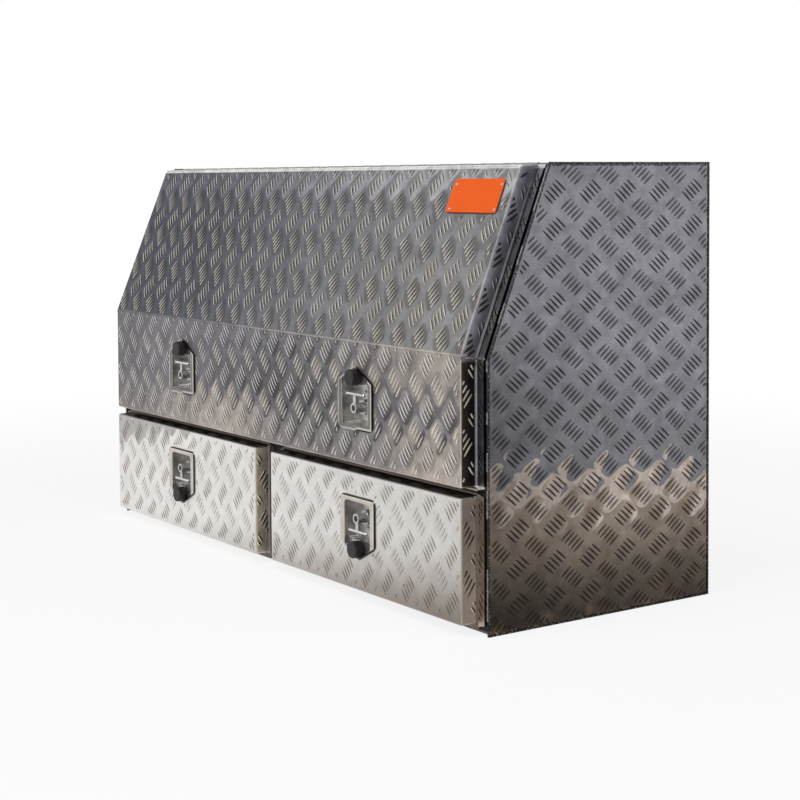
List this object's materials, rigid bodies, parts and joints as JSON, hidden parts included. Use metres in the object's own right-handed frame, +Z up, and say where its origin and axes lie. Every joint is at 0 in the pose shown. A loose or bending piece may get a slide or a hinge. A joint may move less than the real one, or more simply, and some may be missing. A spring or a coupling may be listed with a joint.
{
  "type": "two-drawer toolbox",
  "caption": "Aluminium tread-plate vehicle toolbox: a lift-up door with a sloping upper half over side-by-side drawers, with recessed T-handle latches.",
  "frame": {"origin": "under the middle of the whole box, on the surface that it stands on", "axes": "+X to the right of someone facing the drawers, +Y towards the back, +Z up"},
  "size_m": [1.445, 0.6044, 0.85],
  "materials": {
    "tread_aluminium": "bright rolled tread plate",
    "plain_aluminium": "plain mill finish",
    "stainless": "polished stainless steel",
    "zinc_steel": "zinc plated",
    "black_rubber": "matt",
    "black_enamel": "semi-gloss",
    "key_brass": "nickel-worn brass",
    "orange_enamel": "satin enamel"
  },
  "bodies": {
    "cabinet": {"end_panel_left": "tread_aluminium", "end_panel_right": "tread_aluminium", "roof_panel": "tread_aluminium", "floor_panel": "plain_aluminium", "back_panel": "tread_aluminium", "header_rail": "plain_aluminium", "mid_shelf": "plain_aluminium", "drawer_divider": "plain_aluminium", "door_seal": "black_rubber", "drawer_seal": "black_rubber", "hinge_leaf_cabinet": "stainless", "hinge_pin": "stainless", "strut_bracket_left": "zinc_steel", "strut_bracket_right": "zinc_steel", "slide_cabinet_left_outer": "zinc_steel", "slide_cabinet_left_inner": "zinc_steel", "slide_cabinet_right_outer": "zinc_steel", "slide_cabinet_right_inner": "zinc_steel"},
    "door": {"door_skin": "tread_aluminium", "door_stiffener": "plain_aluminium", "hinge_leaf_door": "stainless", "name_plate": "orange_enamel", "strut_stud_left": "zinc_steel", "strut_stud_right": "zinc_steel", "latch_pan_door_left": "stainless", "latch_pan_door_right": "stainless"},
    "drawer_left": {"drawer_front_left": "tread_aluminium", "drawer_tray_left": "plain_aluminium", "slide_drawer_left_outer": "zinc_steel", "slide_drawer_left_inner": "zinc_steel", "latch_pan_drawer_left": "stainless"},
    "middle_slides_left": {"slide_middle_left_outer": "zinc_steel", "slide_middle_left_inner": "zinc_steel"},
    "strut_tube_left": {"strut_cylinder_left": "black_enamel"},
    "strut_piston_left": {"strut_rod_left": "stainless"},
    "drawer_right": {"drawer_front_right": "tread_aluminium", "drawer_tray_right": "plain_aluminium", "slide_drawer_right_outer": "zinc_steel", "slide_drawer_right_inner": "zinc_steel", "latch_pan_drawer_right": "stainless"},
    "middle_slides_right": {"slide_middle_right_outer": "zinc_steel", "slide_middle_right_inner": "zinc_steel"},
    "strut_tube_right": {"strut_cylinder_right": "black_enamel"},
    "strut_piston_right": {"strut_rod_right": "stainless"},
    "handle_door_left": {"t_handle_door_left": "stainless", "latch_cam_door_left": "zinc_steel"},
    "plug_door_left": {"key_plug_door_left": "key_brass"},
    "button_door_left": {"push_button_door_left": "black_rubber"},
    "handle_drawer_left": {"t_handle_drawer_left": "stainless", "latch_cam_drawer_left": "zinc_steel"},
    "plug_drawer_left": {"key_plug_drawer_left": "key_brass"},
    "button_drawer_left": {"push_button_drawer_left": "black_rubber"},
    "handle_door_right": {"t_handle_door_right": "stainless", "latch_cam_door_right": "zinc_steel"},
    "plug_door_right": {"key_plug_door_right": "key_brass"},
    "button_door_right": {"push_button_door_right": "black_rubber"},
    "handle_drawer_right": {"t_handle_drawer_right": "stainless", "latch_cam_drawer_right": "zinc_steel"},
    "plug_drawer_right": {"key_plug_drawer_right": "key_brass"},
    "button_drawer_right": {"push_button_drawer_right": "black_rubber"}
  },
  "joints": [
    {"name": "door_hinge", "type": "hinge", "parent": "cabinet", "child": "door", "pos_m": [0, -0.09826, 0.8452], "axis": [-1, 0, 0], "range_deg": [0, 85]},
    {"name": "drawer_slide_left", "type": "slide", "parent": "cabinet", "child": "drawer_left", "axis": [0, -1, 0], "range_m": [0, 0.45]},
    {"name": "middle_slide_left", "type": "slide", "parent": "cabinet", "child": "middle_slides_left", "axis": [0, -1, 0], "range_m": [0, 0.225]},
    {"name": "strut_swing_left", "type": "hinge", "parent": "cabinet", "child": "strut_tube_left", "pos_m": [-0.674, 0.07114, 0.67], "axis": [-1, 0, 0], "range_deg": [0, 26.24]},
    {"name": "strut_stroke_left", "type": "slide", "parent": "strut_tube_left", "child": "strut_piston_left", "axis": [0, -0.9844, 0.1761], "range_m": [0, 0.1467]},
    {"name": "drawer_slide_right", "type": "slide", "parent": "cabinet", "child": "drawer_right", "axis": [0, -1, 0], "range_m": [0, 0.45]},
    {"name": "middle_slide_right", "type": "slide", "parent": "cabinet", "child": "middle_slides_right", "axis": [0, -1, 0], "range_m": [0, 0.225]},
    {"name": "strut_swing_right", "type": "hinge", "parent": "cabinet", "child": "strut_tube_right", "pos_m": [0.674, 0.07114, 0.67], "axis": [-1, 0, 0], "range_deg": [0, 26.24]},
    {"name": "strut_stroke_right", "type": "slide", "parent": "strut_tube_right", "child": "strut_piston_right", "axis": [0, -0.9844, 0.1761], "range_m": [0, 0.1467]},
    {"name": "latch_turn_door_left", "type": "hinge", "parent": "door", "child": "handle_door_left", "pos_m": [-0.355, -0.28765, 0.3765], "axis": [0, 1, 0], "range_deg": [0, 90]},
    {"name": "key_turn_door_left", "type": "hinge", "parent": "handle_door_left", "child": "plug_door_left", "pos_m": [-0.355, -0.28765, 0.3765], "axis": [0, 1, 0], "range_deg": [0, 90]},
    {"name": "button_push_door_left", "type": "slide", "parent": "door", "child": "button_door_left", "axis": [0, 1, 0], "range_m": [0, 0.004], "stiffness_N_per_m": 800, "springref_m": -0.003},
    {"name": "latch_turn_drawer_left", "type": "hinge", "parent": "drawer_left", "child": "handle_drawer_left", "pos_m": [-0.3605, -0.28765, 0.1605], "axis": [0, 1, 0], "range_deg": [0, 90]},
    {"name": "key_turn_drawer_left", "type": "hinge", "parent": "handle_drawer_left", "child": "plug_drawer_left", "pos_m": [-0.3605, -0.28765, 0.1605], "axis": [0, 1, 0], "range_deg": [0, 90]},
    {"name": "button_push_drawer_left", "type": "slide", "parent": "drawer_left", "child": "button_drawer_left", "axis": [0, 1, 0], "range_m": [0, 0.004], "stiffness_N_per_m": 800, "springref_m": -0.003},
    {"name": "latch_turn_door_right", "type": "hinge", "parent": "door", "child": "handle_door_right", "pos_m": [0.355, -0.28765, 0.3765], "axis": [0, 1, 0], "range_deg": [0, 90]},
    {"name": "key_turn_door_right", "type": "hinge", "parent": "handle_door_right", "child": "plug_door_right", "pos_m": [0.355, -0.28765, 0.3765], "axis": [0, 1, 0], "range_deg": [0, 90]},
    {"name": "button_push_door_right", "type": "slide", "parent": "door", "child": "button_door_right", "axis": [0, 1, 0], "range_m": [0, 0.004], "stiffness_N_per_m": 800, "springref_m": -0.003},
    {"name": "latch_turn_drawer_right", "type": "hinge", "parent": "drawer_right", "child": "handle_drawer_right", "pos_m": [0.3605, -0.28765, 0.1605], "axis": [0, 1, 0], "range_deg": [0, 90]},
    {"name": "key_turn_drawer_right", "type": "hinge", "parent": "handle_drawer_right", "child": "plug_drawer_right", "pos_m": [0.3605, -0.28765, 0.1605], "axis": [0, 1, 0], "range_deg": [0, 90]},
    {"name": "button_push_drawer_right", "type": "slide", "parent": "drawer_right", "child": "button_drawer_right", "axis": [0, 1, 0], "range_m": [0, 0.004], "stiffness_N_per_m": 800, "springref_m": -0.003}
  ],
  "couplings": [
    {"joint": "middle_slide_left", "follows": "drawer_slide_left", "ratio": 0.5},
    {"joint": "strut_swing_left", "follows": "door_hinge", "ratio": 0.30747},
    {"joint": "strut_stroke_left", "follows": "door_hinge", "m_per_rad": 0.09856},
    {"joint": "middle_slide_right", "follows": "drawer_slide_right", "ratio": 0.5},
    {"joint": "strut_swing_right", "follows": "door_hinge", "ratio": 0.30747},
    {"joint": "strut_stroke_right", "follows": "door_hinge", "m_per_rad": 0.09856}
  ]
}
